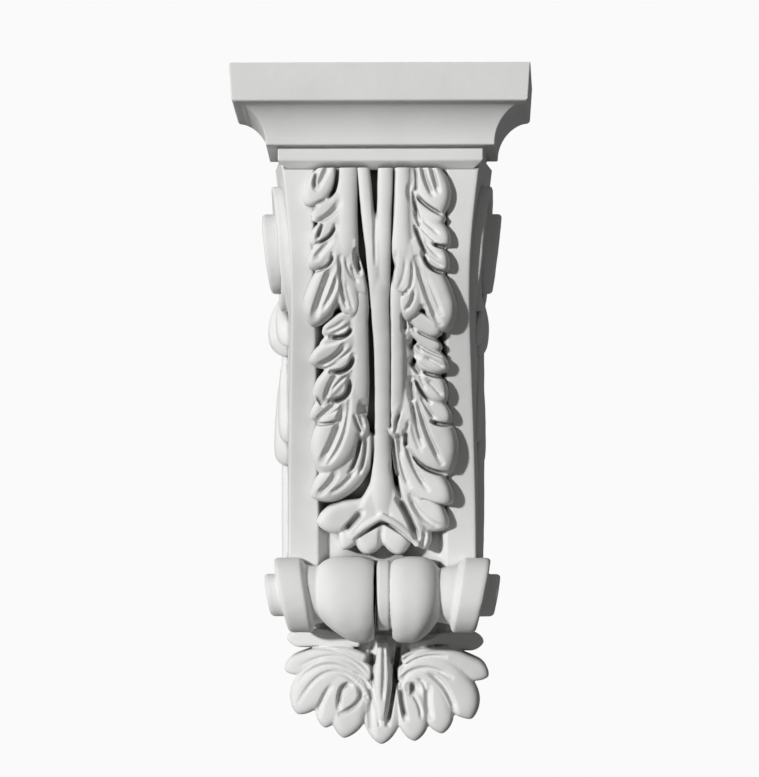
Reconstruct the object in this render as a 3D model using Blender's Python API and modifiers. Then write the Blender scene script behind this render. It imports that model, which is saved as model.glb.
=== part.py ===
"""Acanthus corbel: one plaster casting with a moulded top, a scrolled bracket and carved leaves.

Everything is set out from the top of the casting, as a carver would do it: "drop" is the distance
below the top, "depth" the distance behind the front of the top moulding, "x" the distance from the
centre line, and "lift" how far a carved form stands proud of the surface that it lies on.
The origin is on the flat back, at half the height; the front faces -Y and +Z is up.
"""

from collections import namedtuple
from math import cos, pi, radians, sin, sqrt

import bmesh
import bpy
from mathutils import Vector

NAME = "corbel"
MM = 0.001

# Overall sizes, in millimetres
HEIGHT = 457.0
DEPTH = 150.0
ORIGIN_DROP = HEIGHT / 2

# Top moulding
FASCIA_HALF = 97.5
FASCIA_DROP = 25.0
FASCIA_LEAN = 1.5
COVE_HALF = 75.0
COVE_DROP = 51.5
COVE_DEPTH = 21.5
COVE_STEPS = 8
BEAD_HALF = 67.5
BEAD_DROP = 61.0
BEAD_DEPTH = 28.5
TOP_DRAFT = 0.045
EDGE = 1.5

# Scrolled bracket
SCROLL_RADIUS = 57.0
SCROLL_DROP = 120.0
SCROLL_DEPTH = 81.0
WAIST_DROP = 325.0
WAIST_DEPTH = 99.0
NOSE_DEPTH = SCROLL_DEPTH - SCROLL_RADIUS
TOP_LEAN = 9.0
BODY_HALF = 55.8
BODY_DRAFT = 0.0855
FLARE = 7.0
FLARE_DROP = 176.0
FOOT_DROP = 386.0
FOOT_DEPTH = 116.0
FOOT_TAPER = 20.0
LEAF_TOP = 62.5
CHANNEL_HALF = 39.0
CHANNEL_LIP = 44.0
CHANNEL_SINK = 9.0

# Side volutes
EYE_RADIUS = 27.0
EYE_HALF = 78.0
EYE_TILT = 0.12
SPIRAL_RADIUS = 50.0
BAND_WIDTH = 10.0
BAND_LIFT = 7.5
SPIRAL_START = 10.0
SPIRAL_TURN = 520.0
SPIRAL_DRAW = 20.0

# Bolster under the leaves
BOLSTER_DROP = 352.0
BOLSTER_DEPTH = 97.0
ROLL_RADIUS = 25.5
RING_RADIUS = 24.0
RING_HALF = 5.0
BELL_RADIUS = 30.0
END_TAPER = 0.0031

# Leaf lobes
FLUTE_DEPTH = 3.2
FLUTE_SHARPNESS = 3.6

# Pendant palmette
PALM_DEPTH = 118.0

CARVED_VOXEL = 0.0018
CASTING_TRIANGLES = 9800
FLAT_REACH = 0.0002
SMALLEST_SHELL = 1e-6

PLASTER = (0.78, 0.78, 0.77, 1.0)

Lobe = namedtuple("Lobe", "root bend tip width lift")


def height(drop):
    """World height of a drop below the top."""
    return (ORIGIN_DROP - drop) * MM


def point(x, depth, drop):
    """World point of a place set out in millimetres."""
    return Vector((x * MM, (depth - DEPTH) * MM, height(drop)))


def smooth(t):
    """Ease from 0 to 1 with level ends."""
    t = min(max(t, 0.0), 1.0)
    return t * t * (3 - 2 * t)


def face_depth(drop):
    """Depth of the border strips: nearly upright at the scroll, then an S-curve back to the waist."""
    if drop < SCROLL_DROP:
        return NOSE_DEPTH + TOP_LEAN * (1 - smooth((drop - BEAD_DROP) / (SCROLL_DROP - BEAD_DROP)))
    t = (drop - SCROLL_DROP) / (WAIST_DROP - SCROLL_DROP)
    depth = NOSE_DEPTH + (WAIST_DEPTH - NOSE_DEPTH) * smooth(max(t, 0.0) ** 0.8)
    if drop > WAIST_DROP:
        depth += (FOOT_DEPTH - WAIST_DEPTH) * smooth((drop - WAIST_DROP - 12) / 14)
    return depth


def half_width(depth, drop):
    """Half width of the bracket: drafted towards the wall, flared at the top, drawn in at the foot."""
    flare = FLARE * max(0.0, (FLARE_DROP - drop) / (FLARE_DROP - BEAD_DROP)) ** 2
    taper = FOOT_TAPER * max(0.0, (drop - WAIST_DROP) / (FOOT_DROP - WAIST_DROP)) ** 2
    return BODY_HALF + BODY_DRAFT * depth + flare - taper


def on_front(x, drop, lift):
    """A place on the bracket's front, lifted off the border strips."""
    drop = max(drop, LEAF_TOP)
    return point(x, face_depth(drop) - lift, drop)


def on_side(side):
    """Places on one side face: distance behind the front, drop and lift."""

    def place(depth, drop, lift):
        return point(side * (half_width(depth, drop) + lift), depth, drop)

    return place


def on_palm(x, drop, lift):
    """A place on the pendant leaf, which curls forward towards its lower lip."""
    curl = 9.0 * smooth((drop - 400.0) / 50.0)
    bow = 0.0022 * x * x
    return point(x, PALM_DEPTH + bow - curl - lift, drop)


# --- mesh helpers ---------------------------------------------------------------------------------


def new_object(name, bm, collection):
    """Put a finished bmesh in a collection as an object, faces outward."""
    bmesh.ops.remove_doubles(bm, verts=bm.verts, dist=0.00002)
    bmesh.ops.dissolve_degenerate(bm, edges=bm.edges, dist=0.00001)
    bmesh.ops.recalc_face_normals(bm, faces=bm.faces)
    mesh = bpy.data.meshes.new(name)
    bm.to_mesh(mesh)
    bm.free()
    obj = bpy.data.objects.new(name, mesh)
    collection.objects.link(obj)
    return obj


def loft(bm, rings):
    """Skin a closed body over rings of equal count, with a cap at each end."""
    rows = [[bm.verts.new(p) for p in ring] for ring in rings]
    count = len(rows[0])
    for low, high in zip(rows, rows[1:]):
        for i in range(count):
            j = (i + 1) % count
            bm.faces.new((low[i], low[j], high[j], high[i]))
    bm.faces.new(list(reversed(rows[0])))
    bm.faces.new(rows[-1])


def bezier(root, bend, tip, t):
    """Point and direction on the curve from root to tip, pulled towards bend."""
    spot = [(1 - t) ** 2 * a + 2 * t * (1 - t) * b + t * t * c for a, b, c in zip(root, bend, tip)]
    way = [2 * (1 - t) * (b - a) + 2 * t * (c - b) for a, b, c in zip(root, bend, tip)]
    size = sqrt(way[0] ** 2 + way[1] ** 2) or 1.0
    return spot, (way[0] / size, way[1] / size)


def groove(u, count):
    """Depth, from 0 to 1, of the flutes that run along a lobe, across its width -1 to 1."""
    if not count:
        return 0.0
    middles = [2 * (k + 1) / (count + 1) - 1 for k in range(count)]
    return max(max(0.0, 1 - abs(u - m) * FLUTE_SHARPNESS) for m in middles)


def leaf_lobe(bm, place, lobe, base, along=8, around=5, across=12, flare=2.5):
    """One rounded leaf lobe on a surface: narrow root, full round tip, sides down to base."""
    reach = 2 * sqrt((lobe.tip[0] - lobe.bend[0]) ** 2 + (lobe.tip[1] - lobe.bend[1]) ** 2)
    cap = min(0.55, 0.62 * lobe.width / reach)
    flutes = 0 if lobe.width < 10 else 1 if lobe.width < 16 else 2
    stations = []
    for i in range(along + 1):
        t = i / along
        stations.append((t * (1 - cap), 0.5 + 0.5 * smooth(t * 1.15)))
    for i in range(1, around + 1):
        a = pi / 2 * i / around
        stations.append((1 - cap + cap * sin(a), max(max(cos(a), 0.0) ** 0.9, 0.03)))
    rings = []
    for t, swell in stations:
        (x, drop), (dx, ddrop) = bezier(lobe.root, lobe.bend, lobe.tip, t)
        half = lobe.width / 2 * swell
        lift = lobe.lift[0] * (1 - t) ** 2 + lobe.lift[1] * 2 * t * (1 - t) + lobe.lift[2] * t * t
        ahead = flare * smooth((t - 1 + cap) / cap)
        ring = []
        for side in (1, -1):
            out = side * (half + flare)
            ring.append(place(x - ddrop * out + dx * ahead, drop + dx * out + ddrop * ahead, base))
        for j in range(across + 1):
            u = 2 * j / across - 1
            crown = base + (lift - base) * (1 - 0.28 * u**4)
            crown -= FLUTE_DEPTH * groove(u, flutes) * sin(pi * min(1.0, t + 0.12))
            ring.append(place(x - ddrop * half * u, drop + dx * half * u, crown))
        rings.append(ring)
    loft(bm, rings)


def tube(bm, place, spine, radius, lift, base, sides=10):
    """A round rib along a spine of (x, drop) points, set down to base at its edges."""
    rings = []
    for i, (x, drop) in enumerate(spine):
        before = spine[max(i - 1, 0)]
        after = spine[min(i + 1, len(spine) - 1)]
        dx, ddrop = after[0] - before[0], after[1] - before[1]
        size = sqrt(dx * dx + ddrop * ddrop)
        r = radius[i] if isinstance(radius, (list, tuple)) else radius
        ring = [place(x + ddrop / size * r, drop - dx / size * r, base)]
        for j in range(sides + 1):
            a = pi * j / sides
            out = r * cos(a)
            ring.append(
                place(x + ddrop / size * out, drop - dx / size * out, base + (lift - base) * max(sin(a), 0.35))
            )
        ring.append(place(x - ddrop / size * r, drop + dx / size * r, base))
        rings.append(ring)
    loft(bm, rings)


# --- crisp parts ----------------------------------------------------------------------------------


def top_moulding(collection):
    """Fascia, cove and bead: rectangles with a flat back, stepped down a profile."""
    foot = FASCIA_HALF - FASCIA_LEAN - EDGE
    profile = [(0.0, FASCIA_HALF, 0.0)]
    profile.append((FASCIA_DROP - EDGE, FASCIA_HALF - FASCIA_LEAN, FASCIA_LEAN / 3))
    profile.append((FASCIA_DROP, foot, EDGE))
    for i in range(1, COVE_STEPS + 1):
        a = pi / 2 * i / COVE_STEPS
        drop = FASCIA_DROP + (COVE_DROP - EDGE - FASCIA_DROP) * (1 - cos(a)) ** 0.9
        run = sin(a)
        profile.append((drop, foot + (COVE_HALF - foot) * run, EDGE + (COVE_DEPTH - EDGE) * run))
    profile.append((COVE_DROP, COVE_HALF, COVE_DEPTH))
    profile.append((COVE_DROP, BEAD_HALF, BEAD_DEPTH))
    profile.append((BEAD_DROP - EDGE, BEAD_HALF, BEAD_DEPTH))
    profile.append((BEAD_DROP, BEAD_HALF - EDGE, BEAD_DEPTH + EDGE))
    rings = []
    for drop, half, depth in profile:
        back = half + TOP_DRAFT * (DEPTH - depth)
        corners = ((-half, depth), (half, depth), (back, DEPTH), (-back, DEPTH))
        rings.append([point(x, d, drop) for x, d in corners])
    bm = bmesh.new()
    loft(bm, rings)
    return new_object("top_moulding", bm, collection)


def bracket(collection):
    """The scrolled body: border strips, a sunk channel between them and drafted sides."""
    rows = 34
    first = BEAD_DROP - 3
    rings = []
    for i in range(rows + 1):
        drop = first + (FOOT_DROP - first) * (i / rows) ** 0.93
        front = face_depth(drop)
        sunk = front + CHANNEL_SINK
        edge = half_width(front, drop)
        half_ring = [(CHANNEL_HALF, sunk), (CHANNEL_LIP, front), (edge - EDGE, front)]
        half_ring += [(edge, front + EDGE), (half_width(DEPTH, drop), DEPTH)]
        ring = [(-x, d) for x, d in reversed(half_ring)] + half_ring
        rings.append([point(x, d, drop) for x, d in ring])
    bm = bmesh.new()
    loft(bm, rings)
    return new_object("bracket", bm, collection)


# --- carved parts ---------------------------------------------------------------------------------

UPPER_LEFT = (
    Lobe((-33, 60), (-37, 78), (-49, 90), 17, (6, 9, 8)),
    Lobe((-27, 82), (-33, 93), (-45, 98), 11, (5, 8, 7)),
    Lobe((-28, 98), (-35, 108), (-46, 116), 11, (5, 9, 8)),
    Lobe((-27, 110), (-33, 122), (-45, 131), 14, (5, 9, 8)),
    Lobe((-26, 118), (-36, 140), (-44, 169), 20, (6, 9, 13)),
    Lobe((-22, 120), (-23, 145), (-15, 166), 15, (6, 9, 11)),
    Lobe((-16, 124), (-17, 138), (-9, 150), 9, (5, 8, 8)),
)
UPPER_RIGHT = (
    Lobe((26, 60), (31, 76), (41, 95), 22, (6, 9, 9)),
    Lobe((22, 84), (28, 97), (43, 101), 11, (5, 8, 7)),
    Lobe((24, 97), (32, 108), (47, 117), 15, (5, 9, 9)),
    Lobe((25, 110), (32, 123), (46, 134), 14, (5, 9, 8)),
    Lobe((24, 120), (34, 138), (44, 172), 20, (6, 9, 13)),
    Lobe((20, 122), (22, 142), (21, 166), 15, (6, 9, 11)),
    Lobe((13, 122), (12, 136), (14, 150), 10, (5, 8, 8)),
)
LOWER_LEFT = (
    Lobe((-16, 163), (-27, 168), (-39, 175), 12, (4, 7, 7)),
    Lobe((-18, 174), (-28, 181), (-41, 184), 8, (4, 7, 7)),
    Lobe((-18, 180), (-30, 190), (-48, 193), 15, (4, 9, 10)),
    Lobe((-19, 193), (-32, 204), (-43, 220), 17, (4, 9, 10)),
    Lobe((-20, 211), (-31, 224), (-47, 230), 13, (5, 8, 9)),
    Lobe((-17, 212), (-26, 238), (-42, 269), 30, (5, 10, 13)),
    Lobe((-9, 243), (-14, 268), (-49, 286), 23, (2, 8, 13)),
    Lobe((-12, 228), (-14, 236), (-10, 244), 9, (6, 9, 9)),
)
LOWER_RIGHT = (
    Lobe((15, 163), (24, 168), (40, 176), 12, (4, 7, 7)),
    Lobe((19, 175), (28, 181), (40, 188), 9, (4, 7, 7)),
    Lobe((19, 185), (30, 189), (46, 199), 14, (4, 9, 10)),
    Lobe((21, 196), (31, 204), (44, 219), 16, (4, 9, 10)),
    Lobe((22, 212), (31, 222), (48, 233), 13, (5, 8, 9)),
    Lobe((19, 213), (26, 238), (46, 269), 30, (5, 10, 13)),
    Lobe((10, 250), (17, 272), (49, 289), 22, (2, 8, 13)),
    Lobe((11, 224), (7, 234), (9, 244), 7, (6, 9, 9)),
    Lobe((18, 228), (16, 236), (13, 243), 8, (6, 9, 9)),
)
CAP = (
    Lobe((-8, 284), (-20, 296), (-44, 301), 20, (6, 11, 10)),
    Lobe((12, 278), (19, 298), (44, 309), 20, (6, 11, 10)),
    Lobe((-14, 300), (-22, 308), (-25, 321), 11, (8, 11, 9)),
    Lobe((18, 298), (24, 306), (28, 321), 11, (8, 11, 9)),
    Lobe((-1, 294), (-8, 306), (-10, 323), 20, (13, 15, 12)),
    Lobe((1, 294), (9, 306), (11, 323), 20, (13, 15, 12)),
)
PALM_LEFT = (
    Lobe((-5, 392), (-30, 384), (-68, 384), 13, (4, 5, 4)),
    Lobe((-6, 400), (-30, 388), (-68, 406), 14, (5, 6, 5)),
    Lobe((-7, 412), (-38, 386), (-59, 436), 26, (5, 7, 8)),
    Lobe((-9, 422), (-30, 392), (-40, 445), 19, (5, 7, 7)),
    Lobe((-11, 436), (-18, 400), (-27, 452), 24, (5, 7, 8)),
)
PALM_RIGHT = (
    Lobe((8, 396), (30, 386), (70, 387), 13, (4, 5, 4)),
    Lobe((9, 402), (32, 388), (73, 410), 15, (5, 6, 5)),
    Lobe((10, 412), (42, 388), (61, 439), 26, (5, 7, 8)),
    Lobe((12, 420), (34, 396), (41, 449), 21, (5, 7, 7)),
    Lobe((14, 430), (20, 402), (22, 454), 21, (5, 7, 8)),
)
PALM_BACK = Lobe((0, 372), (0, 400), (0, 444), 100, (-4, -2, -2))
PALM_CENTRE = (
    Lobe((0, 400), (0, 430), (-1, 454), 26, (2, 5, 8)),
    Lobe((0, 384), (0, 410), (0, 441), 15, (8, 12, 9)),
)


SIDE_LEAVES = (
    Lobe((116, 148), (104, 162), (94, 182), 15, (4, 12, 6)),
    Lobe((118, 148), (117, 168), (112, 189), 18, (4, 20, 9)),
    Lobe((122, 148), (130, 162), (131, 182), 14, (4, 12, 6)),
    Lobe((119, 194), (108, 220), (99, 248), 17, (4, 8, 6)),
    Lobe((120, 194), (122, 230), (115, 264), 20, (4, 10, 9)),
    Lobe((122, 194), (134, 220), (136, 248), 15, (4, 8, 6)),
)


def front_leaves(bm):
    """Both tiers of half leaves, their round ribs and the stem between them."""
    for lobe in UPPER_LEFT + UPPER_RIGHT + LOWER_LEFT + LOWER_RIGHT:
        leaf_lobe(bm, on_front, lobe, -CHANNEL_SINK - 2)
    for lobe in CAP:
        leaf_lobe(bm, on_front, lobe, -CHANNEL_SINK - 2, flare=1.5)
    deep = -CHANNEL_SINK - 2
    tube(bm, on_front, [(-21.5, 60), (-22, 90), (-23, 118), (-24, 130)], (7, 7.5, 8, 5), 9, deep)
    tube(bm, on_front, [(15, 60), (14.5, 90), (15, 118), (18, 130)], (6.5, 7, 7.5, 5), 9, deep)
    tube(bm, on_front, [(-14, 160), (-14, 190), (-14.5, 224)], (5.5, 5.8, 5.5), 9, deep)
    tube(bm, on_front, [(11, 160), (11.5, 190), (12, 226)], (5.5, 6, 6), 9, deep)
    tube(bm, on_front, [(-10.5, 58), (-7.5, 85), (-3.5, 112)], 4, 6, deep)
    tube(bm, on_front, [(3.5, 58), (1.5, 85), (-1.5, 112)], 4.5, 6, deep)
    stem = [(-2, 104), (-1.5, 140), (-0.5, 180), (0, 220), (0.5, 255), (0, 275), (0, 290), (0, 300)]
    tube(bm, on_front, stem, (5.5, 5.2, 5, 5, 5.5, 7, 10, 12), 7, deep)


def side_carving(bm, side):
    """Spiral band, eye, bud and trailing leaf on one side face."""
    place = on_side(side)
    steps = 44
    rings = []
    for i in range(steps + 1):
        t = i / steps
        a = -radians(SPIRAL_START + SPIRAL_TURN * t)
        outer = SPIRAL_RADIUS - SPIRAL_DRAW * t
        inner = outer - BAND_WIDTH * (1 - 0.4 * t)
        lift = BAND_LIFT * smooth(t / 0.15) * (1 - 0.3 * t)
        ring = []
        for r, out in ((outer, -3.0), (outer, lift), (inner, lift), (inner, -3.0)):
            drop = max(SCROLL_DROP + r * cos(a), BEAD_DROP - 1)
            ring.append(place(SCROLL_DEPTH + r * sin(a), drop, out))
        rings.append(ring)
    loft(bm, rings)
    rings = []
    for radius, out in ((EYE_RADIUS, -14.0), (EYE_RADIUS, -2.5), (EYE_RADIUS - 2.5, 0.0)):
        ring = []
        for j in range(24):
            a = 2 * pi * j / 24
            drop = SCROLL_DROP + radius * sin(a)
            x = EYE_HALF + out - EYE_TILT * (drop - SCROLL_DROP)
            ring.append(point(side * x, SCROLL_DEPTH + radius * cos(a), drop))
        rings.append(ring)
    loft(bm, rings)
    for lobe in SIDE_LEAVES:
        leaf_lobe(bm, place, lobe, -3.0)
    tube(bm, place, [(130, 140), (120, 165), (120, 200), (122, 240), (119, 300), (108, 332)], 4.5, 4, -3)


def turned_roll(bm, side, profile, taper, sides=28):
    """A turned length of the bolster: (x, radius) about its axis, narrowing towards the bottom."""
    rings = []
    for x, radius in profile:
        ring = []
        for j in range(sides):
            a = 2 * pi * j / sides
            drop = BOLSTER_DROP + radius * sin(a)
            lean = 1 - taper * (drop - BOLSTER_DROP)
            ring.append(point(side * x * lean, BOLSTER_DEPTH + radius * cos(a), drop))
        rings.append(ring)
    loft(bm, rings)


def bolster(bm):
    """Ring, bells, end rolls and eyes along one horizontal axis."""
    ring = [(-RING_HALF, RING_RADIUS - 3), (-RING_HALF + 1.5, RING_RADIUS)]
    ring += [(RING_HALF - 1.5, RING_RADIUS), (RING_HALF, RING_RADIUS - 3)]
    turned_roll(bm, 1, [(x + 1, r) for x, r in ring], 0.0)
    bells = ((-1, 5.5, 37.5, 0.0050), (1, 7.0, 31.0, 0.0024))
    for side, start, length, taper in bells:
        profile = []
        for i in range(11):
            t = 0.5 - 0.5 * cos(pi * i / 10)
            swell = sqrt(max(0.0, 1 - (abs(t - 0.42) / 0.62) ** 3.2))
            profile.append((start + length * t, max(BELL_RADIUS * swell, 9.0)))
        profile.append((start + length + 12, 12.0))
        turned_roll(bm, side, profile, taper)
    for side in (-1, 1):
        roll = [(50, ROLL_RADIUS - 4), (52.5, ROLL_RADIUS), (67, ROLL_RADIUS), (69, ROLL_RADIUS - 2)]
        turned_roll(bm, side, roll, END_TAPER)
        turned_roll(bm, side, [(60, 14.5), (77, 14.5), (78.5, 12.5)], END_TAPER * 0.7)


def palmette(bm):
    """Hanging leaf at the foot, solid back to the wall."""
    wall = PALM_DEPTH - DEPTH - 12
    leaf_lobe(bm, on_palm, PALM_BACK, wall, flare=3.0)
    for lobe in PALM_LEFT + PALM_RIGHT + PALM_CENTRE:
        leaf_lobe(bm, on_palm, lobe, wall, flare=3.0)


def islands(bm):
    """The faces of each separate shell."""
    left = set(bm.faces)
    while left:
        shell, edge = set(), [left.pop()]
        while edge:
            face = edge.pop()
            shell.add(face)
            for other in (f for e in face.edges for f in e.link_faces if f in left):
                left.discard(other)
                edge.append(other)
        yield shell


def shell_volume(shell):
    """Signed volume of one closed shell, negative for the skin of a void."""
    total = 0.0
    for face in shell:
        first, *rest = [v.co for v in face.verts]
        for a, b in zip(rest, rest[1:]):
            total += first.dot(a.cross(b)) / 6
    return total


def evaluated_mesh(obj):
    """A new mesh with the object's modifiers applied."""
    return bpy.data.meshes.new_from_object(obj.evaluated_get(bpy.context.evaluated_depsgraph_get()))


def without_voids(mesh):
    """Drop the shells of sealed voids and crumbs, so that one closed skin is left."""
    bm = bmesh.new()
    bm.from_mesh(mesh)
    for shell in list(islands(bm)):
        if shell_volume(shell) < SMALLEST_SHELL:
            bmesh.ops.delete(bm, geom=list(shell), context="FACES")
    bm.to_mesh(mesh)
    bm.free()
    return mesh


def carving(collection):
    """Every carved form fused into one skin."""
    bm = bmesh.new()
    front_leaves(bm)
    for side in (-1, 1):
        side_carving(bm, side)
    bolster(bm)
    palmette(bm)
    loose = new_object("loose_carving", bm, collection)
    remesh = loose.modifiers.new("fuse", "REMESH")
    remesh.mode = "VOXEL"
    remesh.voxel_size = CARVED_VOXEL
    skin = bpy.data.objects.new("carving", without_voids(evaluated_mesh(loose)))
    collection.objects.link(skin)
    bpy.data.objects.remove(loose, do_unlink=True)
    return skin


def without_folds(mesh):
    """Weld what the thinning brought together and drop the faces left hanging by an open edge."""
    bm = bmesh.new()
    bm.from_mesh(mesh)
    bmesh.ops.remove_doubles(bm, verts=bm.verts, dist=0.00003)
    bmesh.ops.dissolve_degenerate(bm, edges=bm.edges, dist=0.00002)
    hanging = [f for f in bm.faces if any(e.is_boundary for e in f.edges)]
    while hanging:
        bmesh.ops.delete(bm, geom=hanging, context="FACES")
        hanging = [f for f in bm.faces if any(e.is_boundary for e in f.edges)]
    bm.to_mesh(mesh)
    bm.free()


def thinned(whole, collection):
    """The finished casting: few enough faces for a solid, with its top and back kept flat."""
    casting = bpy.data.objects.new(NAME, without_voids(evaluated_mesh(whole)))
    collection.objects.link(casting)
    triangles = sum(len(p.vertices) - 2 for p in casting.data.polygons)
    thin = casting.modifiers.new("thin", "DECIMATE")
    thin.ratio = CASTING_TRIANGLES / triangles
    casting.data = evaluated_mesh(casting)
    casting.modifiers.clear()
    for vertex in casting.data.vertices:
        if abs(vertex.co.y) < FLAT_REACH:
            vertex.co.y = 0.0
        if abs(vertex.co.z - height(0.0)) < FLAT_REACH:
            vertex.co.z = height(0.0)
    without_folds(casting.data)
    return casting


def wall_block(collection):
    """Cutter that leaves the back flat on the wall plane."""
    bpy.ops.mesh.primitive_cube_add(size=1)
    cutter = bpy.context.object
    cutter.name = "wall_block"
    cutter.dimensions = (0.4, 0.1, 0.6)
    cutter.location = (0, 0.05, 0)
    for old in list(cutter.users_collection):
        old.objects.unlink(cutter)
    collection.objects.link(cutter)
    return cutter


def plaster():
    """White plaster."""
    material = bpy.data.materials.new("plaster")
    material.use_nodes = True
    shader = material.node_tree.nodes["Principled BSDF"]
    shader.inputs["Base Color"].default_value = PLASTER
    shader.inputs["Roughness"].default_value = 0.75
    shader.inputs["Metallic"].default_value = 0.0
    return material


def join(obj, other, operation, solver="EXACT"):
    """Add a Boolean and turn its operand into a guide."""
    step = obj.modifiers.new(other.name, "BOOLEAN")
    step.operation = operation
    step.solver = solver
    step.object = other
    other.hide_render = True
    other.display_type = "WIRE"


def main():
    for obj in list(bpy.data.objects):
        bpy.data.objects.remove(obj, do_unlink=True)
    parts = bpy.data.collections.new(NAME)
    cutters = bpy.data.collections.new("cutters")
    for collection in (parts, cutters):
        bpy.context.scene.collection.children.link(collection)
    whole = bracket(cutters)
    join(whole, top_moulding(cutters), "UNION")
    join(whole, carving(cutters), "UNION", "MANIFOLD")
    join(whole, wall_block(cutters), "DIFFERENCE", "MANIFOLD")
    whole.hide_render = True
    whole.display_type = "WIRE"
    corbel = thinned(whole, parts)
    corbel.data.materials.append(plaster())


main()
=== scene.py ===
"""Acanthus corbel in white plaster: the finished casting, its studio and its camera.

The casting is set out as a carver would do it, in millimetres: "drop" is the distance below the top,
"depth" the distance behind the front of the top moulding, "x" the distance from the centre line, and
"lift" how far a form stands proud of the surface that it lies on.
"""

from collections import namedtuple
from math import acos, atan2, cos, pi, radians, sin, sqrt

import bpy
import numpy as np
from bpy.props import FloatProperty, FloatVectorProperty, PointerProperty
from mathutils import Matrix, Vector, noise


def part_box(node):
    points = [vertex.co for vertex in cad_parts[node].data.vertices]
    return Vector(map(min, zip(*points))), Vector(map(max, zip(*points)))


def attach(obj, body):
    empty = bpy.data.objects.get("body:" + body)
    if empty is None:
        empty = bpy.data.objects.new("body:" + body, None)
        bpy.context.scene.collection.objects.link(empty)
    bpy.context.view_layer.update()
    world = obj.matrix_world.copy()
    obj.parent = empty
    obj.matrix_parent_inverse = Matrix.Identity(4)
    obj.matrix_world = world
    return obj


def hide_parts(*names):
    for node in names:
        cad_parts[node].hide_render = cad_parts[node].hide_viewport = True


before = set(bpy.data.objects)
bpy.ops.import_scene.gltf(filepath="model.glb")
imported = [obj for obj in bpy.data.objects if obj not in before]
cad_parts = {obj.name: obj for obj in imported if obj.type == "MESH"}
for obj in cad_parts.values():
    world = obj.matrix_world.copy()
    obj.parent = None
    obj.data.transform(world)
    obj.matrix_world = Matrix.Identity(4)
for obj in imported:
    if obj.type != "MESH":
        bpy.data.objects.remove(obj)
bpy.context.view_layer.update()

bl_info = {
    "name": "Acanthus corbel",
    "version": (1, 0, 0),
    "blender": (4, 5, 0),
    "location": "View3D > Sidebar > Corbel",
    "description": "Models a plaster corbel with acanthus half leaves, a bolster and a palmette",
    "category": "Add Mesh",
}

MM = 0.001
LOW, HIGH = (Vector(corner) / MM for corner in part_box("corbel"))

# Overall sizes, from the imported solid
DEPTH = HIGH.y - LOW.y
ORIGIN_DROP = HIGH.z

# Top moulding
FASCIA_HALF = 97.5
FASCIA_DROP = 25.0
FASCIA_LEAN = 1.5
COVE_HALF = 75.0
COVE_DROP = 51.5
COVE_DEPTH = 21.5
COVE_STEPS = 14
COVE_ROUND = 0.9
BEAD_HALF = 67.5
BEAD_DROP = 61.0
BEAD_DEPTH = 28.5
SOFFIT_INSET = 7.0
SOFT_EDGE = 1.3

# Scrolled bracket
SCROLL_RADIUS = 57.0
SCROLL_DROP = 120.0
SCROLL_DEPTH = 81.0
WAIST_DROP = 325.0
WAIST_DEPTH = 99.0
NOSE_DEPTH = SCROLL_DEPTH - SCROLL_RADIUS
TOP_LEAN = 9.0
BODY_TOP = BEAD_DROP - 3
BODY_ROWS = 150
BODY_SECTION = 24
BODY_HALF = 55.8
BODY_DRAFT = 0.0855
FLARE = 7.0
FLARE_DROP = 176.0
FOOT_DROP = 386.0
FOOT_DEPTH = 116.0
FOOT_TAPER = 20.0
FOOT_END = FOOT_DROP + 6
FOOT_STEP = 362.0
FOOT_SET_BACK = 16.0
FOOT_LEAST = 18.0
SOFFIT_DROP = 67.0
NECK_SET_BACK = 4.0
BACK_INSET = 1.5
LEAF_TOP = 66.0
CHANNEL_HALF = 39.0
CHANNEL_LIP = 44.0
CHANNEL_SINK = 9.0
CHANNEL_SKIM = 0.6
BED = -CHANNEL_SINK - 2

# Side volutes
EYE_RADIUS = 27.0
EYE_HALF = 78.0
EYE_THICK = 16.0
EYE_TILT = 0.12
SPIRAL_RADIUS = 52.0
BAND_WIDTH = 10.0
BAND_LIFT = 7.5
BAND_RISE = 0.15
BAND_NARROWING = 0.4
BAND_SINKING = 0.3
SPIRAL_START = 10.0
SPIRAL_TURN = 520.0
SPIRAL_DRAW = 20.0
BAND_SECTION = 8
BAND_ROWS = 110
SIDE_BED = -3.0

# How proud the leaves stand on the left and on the right side
SIDE_SWELL = {-1: 1.0, 1: 0.55}

# Bolster under the leaves
BOLSTER_DROP = 352.0
BOLSTER_DEPTH = 97.0
ROLL_RADIUS = 25.5
BELL_RADIUS = 29.5
BELL_HANG = 3.0
BELL_STEPS = 24
BELL_CREST = 0.38
BELL_REACH = 0.64
BELL_LEAST = 6.0
END_TAPER = 0.0031
EYE_TAPER = END_TAPER * 0.7

# Turned profiles: distance from the centre line and radius at each step outwards
RING = ((-4, 21), (-2.5, 24), (4.5, 24), (6, 21))
NECK = ((20, 14), (30, 17), (38, 18), (46, 20), (54, 21))
ROLL = (
    (49, 20), (50.5, ROLL_RADIUS - 2), (52.5, ROLL_RADIUS), (66, ROLL_RADIUS),
    (68, ROLL_RADIUS - 0.6), (69, ROLL_RADIUS - 2),
)
ROLL_EYE = ((60, 14.5), (76, 14.5), (78, 13.5), (78.5, 12))

# Side, start, length and how much narrower the bell gets underneath
BELLS = ((-1, 5.5, 46.0, 0.42), (1, 7.0, 36.5, 0.26))

# Pendant palmette
PALM_DEPTH = 118.0
PALM_TOP = 376.0
PALM_CURL = 3.0
PALM_BOW = 0.0010
PALM_LIP = 400.0
WALL_SKIN = 12.0

# Most triangles in a carved piece and in a turned one
LEAF_FACES = 150000
ROLL_FACES = 100000

# Segments round the edge of a disc, a turned form and a rib
DISC_SEGMENTS = 96
TURNED_SEGMENTS = 64
RIB_SEGMENTS = 24

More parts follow.
